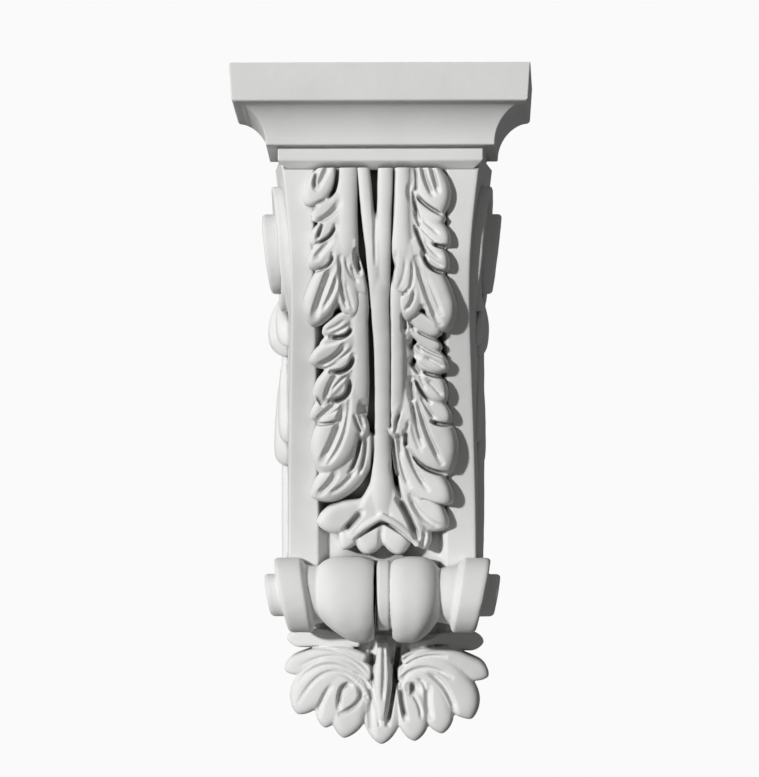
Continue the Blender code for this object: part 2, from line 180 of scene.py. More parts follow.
# How a leaf lobe is drawn out of a ball; its cap is the rounded end
LOBE_SEGMENTS = 40
LOBE_RINGS = 34
CAP_SHARE = 0.42
TIP_POINT = 1.35
CAP_MOST = 0.62
CAP_WIDTHS = 0.78
FULLNESS = 2.3
SHOULDER = 0.6
EDGE_LIFT = 1.0
UNDERCUT = 1.0
UNDERSIDE = -0.02

# How a gouge stroke is cut
CUT_REACH = 0.68
CUT_NARROWEST = 1.5
CUT_STEEPEST = 2.4
CUT_ROUND = 1.3

# Unevenness of hand work, edges that count as sharp, and edges that stay sharp in shading
HAND_GRAIN = 9.0
SHARP = radians(35)
CREASE = radians(50)

# Plaster: fineness of its mottle, waves, pin holes and grain, and how far the painted shade in cuts and
# creases reaches, in metres
MOTTLE_SCALE = 22.0
WAVE_SCALE = 140.0
PORE_SCALE = 260.0
GRAIN_SCALE = 1500.0
CREASE_SHADE_REACH = 0.009

# Stage and camera
BOWL_RADIUS = 5.0
BOWL_HEIGHT = 9.0
BOWL_CENTRE = 3.6
BOWL_BEND = 1.2
LAMP_AIM = Vector((0, -0.09, 0.02))
LAMP_REACH = 1.5
LAMP_SPREAD = radians(4)
CAMERA_DROP = 210.9
SENSOR_WIDTH = 36
LENS = 121.9

Lobe = namedtuple("Lobe", "root bend tip width lift")
Rib = namedtuple("Rib", "spine radii lift")


def height(drop):
    """World height of a drop below the top."""
    return (ORIGIN_DROP - drop) * MM


def point(x, depth, drop):
    """World point of a place set out in millimetres."""
    return Vector((x * MM, (depth - DEPTH) * MM, height(drop)))


def smooth(t):
    """Ease from 0 to 1 with level ends."""
    t = min(max(t, 0.0), 1.0)
    return t * t * (3 - 2 * t)


def face_depth(drop):
    """Depth of the border strips: nearly upright at the scroll, then an S-curve back to the waist."""
    if drop < SCROLL_DROP:
        return NOSE_DEPTH + TOP_LEAN * (1 - smooth((drop - BEAD_DROP) / (SCROLL_DROP - BEAD_DROP)))
    t = (drop - SCROLL_DROP) / (WAIST_DROP - SCROLL_DROP)
    depth = NOSE_DEPTH + (WAIST_DEPTH - NOSE_DEPTH) * smooth(max(t, 0.0) ** 0.8)
    if drop > WAIST_DROP:
        depth += (FOOT_DEPTH - WAIST_DEPTH) * smooth((drop - WAIST_DROP - 12) / 14)
    return depth


def half_width(depth, drop):
    """Half width of the bracket: drafted to the wall, flared at the top, drawn in at the foot."""
    flare = FLARE * max(0.0, (FLARE_DROP - drop) / (FLARE_DROP - BEAD_DROP)) ** 2
    taper = FOOT_TAPER * max(0.0, (drop - WAIST_DROP) / (FOOT_DROP - WAIST_DROP)) ** 2
    return BODY_HALF + BODY_DRAFT * depth + flare - taper


def on_front(x, drop, lift):
    """A place on the bracket's front, lifted off the border strips."""
    drop = max(drop, LEAF_TOP)
    return point(x, face_depth(drop) - lift, drop)


def channel_floor(drop):
    """Depth of the deepest cut the front leaves can take: just under the channel's floor."""
    return face_depth(drop) + CHANNEL_SINK + CHANNEL_SKIM


def wall_floor(drop):
    """Depth of the deepest cut the pendant leaf can take."""
    return DEPTH - WALL_SKIN


def on_side(side):
    """Places on one side face: distance behind the front, drop and lift."""

    def place(depth, drop, lift):
        return point(side * (half_width(depth, drop) + lift), depth, drop)

    return place


def on_palm(x, drop, lift):
    """A place on the pendant leaf, which curls forward towards its lower lip."""
    curl = PALM_CURL * smooth((drop - PALM_LIP) / 50.0)
    bow = PALM_BOW * x * x
    return point(x, PALM_DEPTH + bow - curl - lift, drop)


# --- modelling ---


def select_only(*objs):
    """Leave just these objects selected, the first one active."""
    for other in list(bpy.context.selected_objects):
        other.select_set(False)
    for obj in objs:
        obj.select_set(True)
    if objs:
        bpy.context.view_layer.objects.active = objs[0]


def ball(segments, rings):
    """A new ball of radius 1."""
    select_only()
    bpy.ops.mesh.primitive_uv_sphere_add(segments=segments, ring_count=rings, radius=1)
    return bpy.context.object


def reshape(obj, shape):
    """Move every vertex of a fresh primitive to the place that shape gives it."""
    write(obj.data, np.array([shape(*place) for place in read(obj.data, "co")]))
    return obj


def finish_with(obj, kind, **settings):
    """Add one modifier, set it and apply it."""
    select_only(obj)
    step = obj.modifiers.new(kind.lower(), kind)
    for name, value in settings.items():
        setattr(step, name, value)
    bpy.ops.object.modifier_apply(modifier=step.name)


def round_edges(obj, width, segments):
    """Round the sharp edges of a piece."""
    finish_with(obj, "BEVEL", width=width, segments=segments, limit_method="ANGLE", angle_limit=SHARP)


def close_ends(obj):
    """Fill the open loops of a piece with flat faces."""
    select_only(obj)
    bpy.ops.object.mode_set(mode="EDIT")
    bpy.ops.mesh.select_all(action="DESELECT")
    bpy.ops.mesh.select_non_manifold()
    bpy.ops.mesh.edge_face_add()
    bpy.ops.object.mode_set(mode="OBJECT")


def face_outward(obj):
    """Merge doubles and turn every face outward."""
    select_only(obj)
    bpy.ops.object.mode_set(mode="EDIT")
    bpy.ops.mesh.select_all(action="SELECT")
    bpy.ops.mesh.remove_doubles(threshold=0.00001)
    bpy.ops.mesh.normals_make_consistent(inside=False)
    bpy.ops.object.mode_set(mode="OBJECT")


def outer_skin(obj):
    """Drop the skins of sealed voids: the ones that face inwards."""
    co = read(obj.data, "co")
    corners = np.empty(len(obj.data.loops), np.int32)
    obj.data.loops.foreach_get("vertex_index", corners)
    starts = np.array([f.loop_start for f in obj.data.polygons])
    a, b, c = (corners[starts + step] for step in (0, 1, 2))
    d = corners[starts + np.array([f.loop_total - 1 for f in obj.data.polygons])]
    part = np.arange(len(co))
    edges = np.array([e.vertices[:] for e in obj.data.edges])
    while True:
        low = np.minimum(part[edges[:, 0]], part[edges[:, 1]])
        before = part.copy()
        np.minimum.at(part, edges[:, 0], low)
        np.minimum.at(part, edges[:, 1], low)
        part = part[part]
        if (part == before).all():
            break
    volume = np.zeros(len(co))
    for p, q, r in ((a, b, c), (a, c, d)):
        np.add.at(volume, part[a], np.einsum("ij,ij->i", co[p], np.cross(co[q], co[r])))
    void = volume[part] <= 0
    if void.any():
        select_only(obj)
        bpy.ops.object.mode_set(mode="EDIT")
        bpy.ops.mesh.select_all(action="DESELECT")
        bpy.ops.object.mode_set(mode="OBJECT")
        obj.data.vertices.foreach_set("select", void)
        bpy.ops.object.mode_set(mode="EDIT")
        bpy.ops.mesh.delete(type="VERT")
        bpy.ops.object.mode_set(mode="OBJECT")


def fused(name, forms, voxel, most, softening=3, cuts=(), floor=None):
    """Cast overlapping forms into one skin, soften it, gouge it and keep its triangles few enough."""
    select_only(*forms)
    bpy.ops.object.join()
    obj = bpy.context.object
    obj.name = obj.data.name = name
    face_outward(obj)
    finish_with(obj, "REMESH", mode="VOXEL", voxel_size=voxel * MM)
    outer_skin(obj)
    finish_with(obj, "SMOOTH", factor=0.5, iterations=softening)
    if cuts:
        gouge(obj, cuts, floor)
        finish_with(obj, "SMOOTH", factor=0.5, iterations=1)
        finish_with(obj, "REMESH", mode="VOXEL", voxel_size=voxel * MM)
        outer_skin(obj)
        finish_with(obj, "SMOOTH", factor=0.5, iterations=2)
    triangles = 2 * len(obj.data.polygons)
    if triangles > most:
        finish_with(obj, "DECIMATE", ratio=most / triangles)
    return obj


def curve_at(root, bend, tip, t):
    """Point and direction on the curve from root to tip, pulled towards bend."""
    spot = [(1 - t) ** 2 * a + 2 * t * (1 - t) * b + t * t * c for a, b, c in zip(root, bend, tip)]
    way = [2 * (1 - t) * (b - a) + 2 * t * (c - b) for a, b, c in zip(root, bend, tip)]
    size = sqrt(way[0] ** 2 + way[1] ** 2) or 1.0
    return spot, (way[0] / size, way[1] / size)


def lobe_form(place, lobe, base):
    """One leaf lobe drawn out of a ball: narrow root, bluntly pointed tip, shoulders rounded over."""
    reach = 2 * sqrt((lobe.tip[0] - lobe.bend[0]) ** 2 + (lobe.tip[1] - lobe.bend[1]) ** 2)
    cap = min(CAP_MOST, CAP_WIDTHS * lobe.width / reach)
    full = lobe.width / 2

    def shape(x, y, z):
        along = acos(min(max(z, -1.0), 1.0)) / pi
        turn = atan2(y, x)
        u = cos(turn)
        if along < 1 - CAP_SHARE:
            run = along / (1 - CAP_SHARE)
            t, end = run * (1 - cap), 0.0
            half = full * (0.5 + 0.5 * smooth(1.15 * run)) * (0.0 if along == 0 else 1.0)
        else:
            a = pi / 2 * (along - 1 + CAP_SHARE) / CAP_SHARE
            t, end = 1 - cap + cap * sin(a), sin(a)
            half = full * cos(a) ** TIP_POINT
        (px, pdrop), (dx, ddrop) = curve_at(lobe.root, lobe.bend, lobe.tip, t)
        crown = lobe.lift[0] * (1 - t) ** 2 + lobe.lift[1] * 2 * t * (1 - t) + lobe.lift[2] * t * t
        if sin(turn) < UNDERSIDE:
            half = max(half - UNDERCUT, 0.0)
            lift = base
        else:
            q = min(end**2 + u * u * (1 - end**2), 1.0)
            edge = min(EDGE_LIFT, crown - 2)
            lift = edge + (crown - edge) * (1 - q**FULLNESS) ** SHOULDER
        return place(px - ddrop * half * u, pdrop + dx * half * u, lift)

    return reshape(ball(LOBE_SEGMENTS, LOBE_RINGS), shape)


def along_spine(spine, t):
    """Smooth point and direction on a line through the spine's points, t from 0 to 1."""
    last = len(spine) - 1
    k = min(int(t * last), last - 1)
    f = t * last - k
    p0, p1, p2, p3 = (spine[min(max(k + i, 0), last)] for i in (-1, 0, 1, 2))
    spot, way = [], []
    for a, b, c, d in zip(p0, p1, p2, p3):
        m, n = (c - a) / 2, (d - b) / 2
        spot.append(b + f * (m + f * (3 * (c - b) - 2 * m - n + f * (2 * (b - c) + m + n))))
        way.append(m + f * (2 * (3 * (c - b) - 2 * m - n) + f * 3 * (2 * (b - c) + m + n)))
    size = sqrt(way[0] ** 2 + way[1] ** 2) or 1.0
    return spot, (way[0] / size, way[1] / size)


def rib_form(place, rib, base):
    """A round rib drawn out of a ball along its spine."""
    radii = [(r,) * 2 for r in rib.radii]
    lifts = [(h,) * 2 for h in rib.lift]

    def shape(x, y, z):
        along = acos(min(max(z, -1.0), 1.0)) / pi
        turn = atan2(y, x)
        (px, pdrop), (dx, ddrop) = along_spine(rib.spine, along)
        radius = along_spine(radii, along)[0][0] if 0 < along < 1 else 0.0
        top = along_spine(lifts, along)[0][0]
        out = radius * cos(turn)
        lift = base
        if sin(turn) >= UNDERSIDE:
            lift = top - radius * (1 - max(sin(turn), 0.0) ** 0.7) * 0.9
        return place(px - ddrop * out, pdrop + dx * out, lift)

    return reshape(ball(RIB_SEGMENTS, 8 * len(rib.spine)), shape)


def gouge(obj, strokes, floor):
    """Cut gouge strokes into a carved front, no deeper than the depth that floor gives for a drop."""
    co = read(obj.data, "co")
    faces_front = read(obj.data, "normal")[:, 1] < 0.1
    x = co[:, 0] / MM
    drop = ORIGIN_DROP - co[:, 2] / MM
    push = np.zeros(len(co))
    t = np.linspace(0, 1, 33)
    for start, bend, end, width, depth in strokes:
        px, pdrop = ((1 - t) ** 2 * a + 2 * t * (1 - t) * b + t * t * c
                     for a, b, c in zip(start, bend, end))
        near = (x > px.min() - width) & (x < px.max() + width)
        near &= (drop > pdrop.min() - width) & (drop < pdrop.max() + width)
        near &= faces_front
        rows = np.flatnonzero(near)
        if not len(rows):
            continue
        gap = np.hypot(x[rows, None] - px, drop[rows, None] - pdrop)
        nearest = gap.argmin(axis=1)
        across = gap.min(axis=1) / max(width * CUT_REACH, CUT_NARROWEST)
        fade = np.minimum(1.0, 4 * np.minimum(t, 1 - t) + 0.35)[nearest]
        hollow = np.clip(1 - across**2, 0, 1) ** CUT_ROUND
        cut = min(depth, CUT_STEEPEST * width) * fade * hollow
        push[rows] = np.maximum(push[rows], cut)
    steps = np.linspace(drop.min(), drop.max(), 200)
    lowest = np.interp(drop, steps, [floor(step) for step in steps])
    room = lowest - (co[:, 1] / MM + DEPTH)
    co[:, 1] += np.minimum(push, np.maximum(room, 0)) * MM
    write(obj.data, co)


def read(mesh, name):
    """One vector for each vertex, as rows of an array."""
    values = np.empty(len(mesh.vertices) * 3)
    mesh.vertices.foreach_get(name, values)
    return values.reshape(-1, 3)


def write(mesh, places):
    """Put the vertices in new places."""
    mesh.vertices.foreach_set("co", places.ravel())
    mesh.update()


def hand_worked(obj):
    """Shift the skin in and out a little, as hand work does."""
    amount = bpy.context.scene.corbel_sizes.hand_work
    places, normals = read(obj.data, "co"), read(obj.data, "normal")
    swell = np.array([noise.noise(place) for place in places / (HAND_GRAIN * MM)])
    write(obj.data, places + normals * (swell * amount * MM)[:, None])


def keep_in_box(obj):
    """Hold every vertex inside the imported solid's box."""
    write(obj.data, np.clip(read(obj.data, "co"), LOW * MM, HIGH * MM))


def hand_over(obj, planes=False):
    """Give a finished piece its plaster and its place in the frame; planes keeps its flats flat."""
    keep_in_box(obj)
    select_only(obj)
    bpy.ops.object.shade_smooth_by_angle(angle=CREASE)
    if planes:
        finish_with(obj, "WEIGHTED_NORMAL", keep_sharp=True, weight=100)
    obj.data.materials.clear()
    obj.data.materials.append(plaster())
    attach(obj, "root")
    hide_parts("corbel")
    return obj


# --- plaster ---


def plaster():
    """White plaster: even and matt, faintly mottled, with a fine grain and a few pin holes; its colour
    carries painted shade in cuts and creases.
    """
    found = bpy.data.materials.get("white_plaster")
    if found:
        return found
    finish = bpy.context.scene.corbel_finish
    material = bpy.data.materials.new("white_plaster")
    material.use_nodes = True
    nodes, links = material.node_tree.nodes, material.node_tree.links
    shader = nodes["Principled BSDF"]
    place = nodes.new("ShaderNodeTexCoord").outputs["Object"]

    def noise_field(scale, detail):
        field = nodes.new("ShaderNodeTexNoise")
        field.inputs["Scale"].default_value = scale
        field.inputs["Detail"].default_value = detail
        links.new(place, field.inputs["Vector"])
        return field.outputs["Fac"]

    def stretched(value, low, high, least=0.0):
        """The value's range from low to high, spread from least to 1."""
        step = nodes.new("ShaderNodeMapRange")
        step.inputs["From Min"].default_value = low
        step.inputs["From Max"].default_value = high
        step.inputs["To Min"].default_value = least
        links.new(value, step.inputs["Value"])
        return step.outputs["Result"]

    tint = nodes.new("ShaderNodeMix")
    tint.data_type = "RGBA"
    tint.inputs["A"].default_value = (*finish.shade_colour, 1)
    tint.inputs["B"].default_value = (*finish.plaster_colour, 1)
    links.new(stretched(noise_field(MOTTLE_SCALE, 5.0), 0.35, 0.6), tint.inputs["Factor"])
    # Painted shade: an ambient-occlusion mask darkens the colour in narrow cuts and creases, standing in for
    # the shade that falls there.
    hollow = nodes.new("ShaderNodeAmbientOcclusion")
    hollow.inputs["Distance"].default_value = CREASE_SHADE_REACH
    open_air = stretched(hollow.outputs["AO"], 0.1, 0.62, finish.cut_shade)
    painted_crease_shade = nodes.new("ShaderNodeMix")
    painted_crease_shade.data_type = "RGBA"
    painted_crease_shade.blend_type = "MULTIPLY"
    painted_crease_shade.inputs["Factor"].default_value = 1.0
    links.new(tint.outputs["Result"], painted_crease_shade.inputs["A"])
    links.new(open_air, painted_crease_shade.inputs["B"])
    links.new(painted_crease_shade.outputs["Result"], shader.inputs["Base Color"])
    shader.inputs["Roughness"].default_value = finish.roughness
    shader.inputs["Specular IOR Level"].default_value = 0.1

    pores = nodes.new("ShaderNodeTexVoronoi")
    pores.inputs["Scale"].default_value = PORE_SCALE
    links.new(place, pores.inputs["Vector"])

    bumps = None
    for source, strength, distance in (
        (stretched(pores.outputs["Distance"], 0.05, 0.16), 0.08, 0.0003),
        (noise_field(GRAIN_SCALE, 3.0), finish.grain, 0.0003),
        (noise_field(WAVE_SCALE, 4.0), 0.25, 0.0008),
    ):
        bump = nodes.new("ShaderNodeBump")
        bump.inputs["Strength"].default_value = strength
        bump.inputs["Distance"].default_value = distance
        links.new(source, bump.inputs["Height"])
        if bumps:
            links.new(bumps, bump.inputs["Normal"])
        bumps = bump.outputs["Normal"]
    links.new(bumps, shader.inputs["Normal"])
    return material


# --- what a user may change ---


class CorbelSizes(bpy.types.PropertyGroup):
    """How finely the casting is modelled, and how uneven its surfaces are."""

    leaf_voxel: FloatProperty(
        name="Leaf grain", description="Fineness of the leaves' skin", default=0.52, min=0.4, max=3.0
    )
    roll_voxel: FloatProperty(
        name="Bolster grain", description="Fineness of the bolster's skin", default=0.8, min=0.4, max=3.0
    )
    hand_work: FloatProperty(
        name="Hand work", description="Unevenness of the surfaces, in mm", default=0.18, min=0, max=2
    )


class CorbelFinish(bpy.types.PropertyGroup):
    """Colours and surface of the plaster and its stage."""

    plaster_colour: FloatVectorProperty(
        name="Plaster", description="Colour of the dry plaster", subtype="COLOR", default=(0.80, 0.80, 0.79)
    )
    shade_colour: FloatVectorProperty(
        name="Mottle", description="Colour of its darker cloudy patches", subtype="COLOR",
        default=(0.76, 0.76, 0.75),
    )
    roughness: FloatProperty(
        name="Roughness", description="Roughness of the plaster", default=0.8, subtype="FACTOR"
    )
    grain: FloatProperty(
        name="Grain", description="Strength of the finest grain", default=0.12, subtype="FACTOR"
    )
    # Painted shade: how bright the crease-shade mask leaves the colour in the deepest cuts
    cut_shade: FloatProperty(
        name="Painted shade in the cuts", description="Brightness left in the deepest cuts", default=0.18, min=0, max=1
    )
    stage_white: FloatProperty(
        name="Stage white", description="Brightness of the floor and backdrop", default=0.955
    )


class CorbelLight(bpy.types.PropertyGroup):
    """Studio light and camera."""

    key_power: FloatProperty(
        name="Key strength", description="Strength of the key light", default=2.95, min=0
    )
    key_turn: FloatProperty(
        name="Key turn", description="How far left of the front the lamp stands", default=radians(40),
        subtype="ANGLE",
    )
    key_rise: FloatProperty(
        name="Key rise", description="How far up the lamp stands", default=radians(13), subtype="ANGLE"
    )
    ambient: FloatProperty(
        name="Ambient", description="Strength of the even light from all round", default=0.125
    )
    camera_distance: FloatProperty(
        name="Camera distance", description="From the front of the fascia", default=1.70, unit="LENGTH"
    )
    camera_turn: FloatProperty(
        name="Camera turn", description="How far right of the front the camera stands",
        default=radians(1.15), subtype="ANGLE",
    )


# --- the leaves' set-out ---

UPPER_LEFT = (
    Lobe((-31, 58), (-36, 78), (-50, 90), 19, (8, 10, 9)),
    Lobe((-22, 80), (-33, 93), (-46, 100), 14, (8, 9, 9)),
    Lobe((-22, 92), (-34, 107), (-46, 117), 14, (8, 9, 9)),
    Lobe((-22, 104), (-33, 121), (-47, 132), 16, (8, 9, 10)),
    Lobe((-24, 114), (-33, 142), (-46, 170), 24, (9, 10, 14)),
    Lobe((-22, 116), (-24, 145), (-17, 166), 17, (9, 9, 12)),
    Lobe((-17, 112), (-20, 136), (-8, 151), 12, (9, 9, 9)),
)
UPPER_RIGHT = (
    Lobe((26, 57), (32, 76), (41, 97), 24, (7, 10, 10)),
    Lobe((20, 80), (28, 95), (43, 101), 14, (6, 8, 9)),
    Lobe((21, 92), (31, 107), (46, 118), 18, (6, 9, 11)),
    Lobe((22, 104), (31, 122), (45, 134), 17, (6, 9, 11)),
    Lobe((20, 112), (33, 140), (44, 174), 25, (8, 10, 15)),
    Lobe((17, 116), (25, 142), (17, 167), 18, (9, 9, 12)),
    Lobe((13, 112), (17, 134), (11, 151), 12, (9, 9, 9)),
)
LOWER_LEFT = (
    Lobe((-14, 156), (-25, 168), (-39, 175), 13, (8, 8, 8)),
    Lobe((-14, 168), (-27, 179), (-41, 183), 10, (8, 8, 8)),
    Lobe((-14, 174), (-30, 189), (-48, 193), 17, (8, 10, 12)),
    Lobe((-14, 186), (-31, 204), (-44, 221), 19, (8, 10, 11)),
    Lobe((-15, 203), (-31, 222), (-48, 231), 15, (8, 9, 10)),
    Lobe((-16, 200), (-26, 238), (-41, 270), 33, (8, 11, 15)),
    Lobe((-7, 240), (-13, 270), (-49, 284), 24, (5, 8, 14)),
    Lobe((-15, 224), (-15, 236), (-11, 245), 11, (9, 9, 10)),
)
LOWER_RIGHT = (
    Lobe((17, 156), (25, 168), (41, 175), 13, (6, 8, 9)),
    Lobe((20, 171), (28, 180), (41, 184.5), 10, (6, 8, 8)),
    Lobe((21, 183), (30, 190), (45, 199), 16, (6, 9, 12)),
    Lobe((22, 194), (31, 206), (43, 221), 19, (6, 9, 13)),
    Lobe((22, 208), (32, 222), (47, 234), 15, (6, 9, 12)),
    Lobe((18, 204), (27, 238), (46, 270), 36, (6, 11, 16)),
    Lobe((7, 240), (15, 272), (49, 288), 25, (5, 8, 16)),
    Lobe((12, 220), (5, 233), (9, 245), 9, (9, 9, 9)),
    Lobe((18, 222), (13, 235), (14, 244), 10, (8, 9, 9)),
)
CAP = (
    Lobe((-6, 288), (-24, 300), (-45, 302), 22, (8, 11, 12)),
    Lobe((-14, 300), (-22, 309), (-27, 321), 14, (8, 10, 9)),
    Lobe((16, 276), (28, 298), (46, 304), 23, (6, 10, 12)),
    Lobe((20, 296), (26, 308), (30, 321), 14, (8, 9, 9)),
    Lobe((-1, 264), (-3, 292), (-24, 315), 18, (6, 12, 12.5)),
    Lobe((1, 264), (4, 292), (25, 315), 18, (6, 12, 12.5)),
    Lobe((-2, 294), (-9, 308), (-11, 325), 25, (5, 10.5, 10)),
    Lobe((2, 294), (10, 308), (12, 325), 25, (5, 10.5, 10)),
)
PALM_LEFT = (
    Lobe((-15, 387), (-34, 383), (-67, 384), 13, (2, 2, 0)),
    Lobe((-11, 398), (-30, 388), (-68, 406), 14, (5, 6, 5)),
    Lobe((-7, 412), (-38, 386), (-59, 436), 26, (5, 7, 8)),
    Lobe((-9, 422), (-30, 392), (-40, 445), 19, (5, 7, 7)),
    Lobe((-11, 436), (-18, 400), (-27, 452), 24, (5, 7, 8)),
)
PALM_RIGHT = (
    Lobe((17, 390), (34, 385), (70, 387), 13, (-3, -5, -7)),
    Lobe((13, 400), (32, 388), (73, 410), 15, (5, 6, 5)),
    Lobe((10, 412), (42, 388), (61, 439), 26, (5, 7, 8)),
    Lobe((12, 420), (34, 396), (41, 449), 21, (5, 7, 7)),
    Lobe((14, 430), (20, 402), (22, 454), 21, (5, 7, 8)),
)
PALM_BACK = Lobe((0, 382), (0, 408), (0, 444), 100, (-14, -4, -2))
PALM_CENTRE = (
    Lobe((0, 400), (0, 430), (-1, 456), 26, (2, 5, 8)),
    Lobe((0, 384), (0, 410), (0, 441), 15, (8, 12, 9)),
)
SIDE_LEAVES = (
    Lobe((116, 148), (104, 162), (94, 182), 15, (4, 12, 6)),
    Lobe((118, 148), (117, 168), (112, 189), 18, (4, 20, 9)),
    Lobe((122, 148), (130, 162), (131, 182), 14, (4, 12, 6)),
    Lobe((119, 194), (108, 220), (99, 248), 17, (4, 8, 6)),
    Lobe((120, 194), (122, 230), (115, 264), 20, (4, 10, 9)),
    Lobe((122, 194), (134, 220), (136, 248), 15, (4, 8, 6)),
)
TRAIL = Rib(((130, 140), (120, 165), (120, 200), (122, 240), (119, 300), (108, 332)), (4.5,) * 6, (4,) * 6)
UPPER_RIBS = (
    Rib(((-21.5, 56), (-22, 80), (-22, 105), (-22.5, 122), (-24, 140)),
        (7.2, 7.2, 7.5, 8, 6), (9.5, 9.5, 9.5, 9.5, 6)),
    Rib(((14.8, 56), (14.2, 80), (14, 105), (15, 122), (18, 140)),
        (5.6, 5.6, 6.2, 7.5, 6), (9.5, 9.5, 9.5, 9.5, 6)),
    Rib(((17.5, 56), (18, 80), (19, 105), (20, 122)), (5.5, 5.5, 5.5, 5), (7, 7, 7, 7)),
)
LOWER_RIBS = (
    Rib(((-13.6, 136), (-13.6, 152), (-13.8, 190), (-14.2, 212), (-14.6, 230)),
        (5, 6, 6.2, 6.2, 5), (3, 9, 9.5, 9.5, 7)),
    Rib(((11, 136), (11, 152), (11, 190), (10.8, 212), (10, 230)),
        (4, 4.6, 4.8, 4.8, 4), (3, 9, 9.5, 9.5, 8)),
    Rib(((15, 140), (15, 160), (15, 190), (15, 212), (15, 230)), (6, 6, 6, 6, 4), (3, 6.5, 6, 6, 5)),
)
STEMS = (
    Rib(((-12.3, 54), (-10.3, 75), (-7.8, 98), (-4.4, 122), (-2.4, 160)),
        (4, 4.2, 4.6, 5, 4), (8.5, 8.5, 8.5, 8.2, 7)),
    Rib(((3.6, 54), (3.2, 75), (2.6, 98), (2.4, 122), (2, 160)),
        (5.2, 5.2, 5, 4.8, 4), (8.5, 8.5, 8.5, 8.2, 7)),
    Rib(((0, 118), (0, 140), (0, 164), (0.8, 184), (0.8, 220), (0.6, 240)),
        (4, 6, 6.2, 5.6, 5.3, 5.4), (2, 7.6, 8, 8, 8, 8)),
)
CAP_RIBS = (
    Rib(((0.6, 236), (0.5, 252), (0.2, 268), (0, 282), (0, 297)),
        (5, 5.6, 7.2, 9.5, 11), (7.5, 8.6, 10, 11.5, 11)),
    Rib(((2, 297), (-6, 301.5), (-13, 306), (-21, 312.5)), (2.2, 2.2, 2.2, 2), (13.8, 14.2, 13.8, 11.5)),
    Rib(((-2, 297), (7, 301.5), (15, 307.5), (25, 318)), (2.2, 2.2, 2.2, 2), (13.8, 14.2, 13.8, 11.5)),
    Rib(((14, 268), (16, 284), (21, 296), (25, 308), (27, 318)),
        (3.4, 4, 4.6, 4.8, 4), (4, 8, 10, 10.5, 9)),
)

# Gouge cuts: where each one starts, what it bends towards, where it ends, its width and its depth

UPPER_CUTS = (
    ((-34, 65), (-37.5, 73), (-41.5, 80), 3.8, 3.4),
    ((-41.5, 69), (-44, 75), (-42.5, 80), 2.6, 5.0),
    ((-28.8, 63), (-26.5, 77), (-34, 87), 2.6, 8.0),
    ((-34, 87), (-39, 88.5), (-44, 91), 1.8, 2.5),
    ((-41, 91.5), (-46, 92.5), (-44, 101), 2.6, 6.0),
    ((-27, 90), (-32, 99), (-40.5, 102), 4.6, 3.4),
    ((-37, 102), (-39, 107), (-41, 113), 2.4, 5.0),
    ((-29.5, 104), (-31, 113), (-41, 116), 2.0, 6.0),
    ((-32, 114), (-37, 120), (-42, 126), 4.0, 3.0),
    ((-31, 123), (-31, 132), (-42, 134), 2.4, 5.0),
    ((-31, 131), (-38, 147), (-43.5, 164), 5.2, 4.2),
    ((-28, 136), (-30, 149), (-38.5, 159), 3.4, 2.8),
    ((-26, 125), (-27, 144), (-22, 157), 2.8, 4.0),
    ((-22.5, 142), (-21, 150), (-18, 159), 2.4, 1.8),
    ((-22, 126), (-21.5, 135), (-16, 140), 2.2, 1.8),
    ((-18.5, 131), (-17.5, 136), (-15, 141), 1.8, 3.0),
    ((-15.6, 121), (-15.6, 128), (-13.2, 135), 3.6, 7.0),
    ((-28, 158), (-30, 165), (-25, 167), 5.0, 8.0),
    ((-36, 168.5), (-30, 168), (-22, 163), 3.0, 9.0),
    ((-12, 150), (-10.5, 156), (-14, 164), 2.6, 3.5),
    ((-14.4, 62), (-12.2, 90), (-9.6, 118), 1.6, 7.0),
    ((-9.6, 118), (-9.5, 135), (-7.6, 150), 1.8, 7.0),
    ((9.0, 60), (9.3, 90), (6.6, 116), 1.6, 7.0),
    ((6.4, 116), (5.6, 130), (7.0, 152), 2.0, 7.0),
    ((19.5, 77), (17.5, 82), (20, 88), 3.0, 1.8),
    ((22.6, 62), (24.5, 74), (23.4, 82), 1.8, 7.0),
    ((21.6, 82), (22.4, 93), (26.5, 102), 2.0, 7.0),
    ((22.8, 95), (24, 101), (26.5, 106), 1.8, 6.0),
    ((23.0, 105), (25.5, 115), (31.5, 126), 2.4, 5.5),
    ((27.5, 64), (29.5, 76), (34.5, 84), 3.4, 4.4),
    ((32.5, 60), (35, 71), (38, 82), 3.2, 4.4),
    ((23.5, 84), (30, 92.5), (42, 98), 2.6, 5.5),
    ((27, 100), (32, 104), (38, 110), 2.2, 2.2),
    ((26, 104.5), (31, 111), (38, 116), 2.2, 2.2),
    ((29, 114), (33, 121), (39, 125), 2.2, 2.0),
    ((35, 116.5), (39, 118.6), (44, 118.5), 2.6, 6.0),
    ((30, 124), (35, 128.5), (41, 131), 2.2, 2.2),
    ((28, 122), (30, 134), (43, 135.5), 2.8, 7.0),
    ((24, 126), (29, 148), (39, 168), 4.2, 4.6),
    ((28, 134), (35.5, 149), (40, 162), 3.4, 2.6),
    ((21.2, 128), (22, 140), (19, 147), 2.4, 2.4),
    ((22, 146), (22, 154), (17, 159), 2.6, 3.2),
    ((13, 148.3), (15, 150.5), (18.5, 146), 1.8, 3.5),
    ((10.4, 122), (10, 128), (8.6, 134), 2.6, 1.5),
    ((16.5, 127), (16.5, 137), (11.5, 146), 1.6, 0.9),
    ((28, 158), (27, 164), (32, 168), 4.5, 9.0),
    ((24, 164), (28, 165), (33, 168), 3.0, 9.0),
)
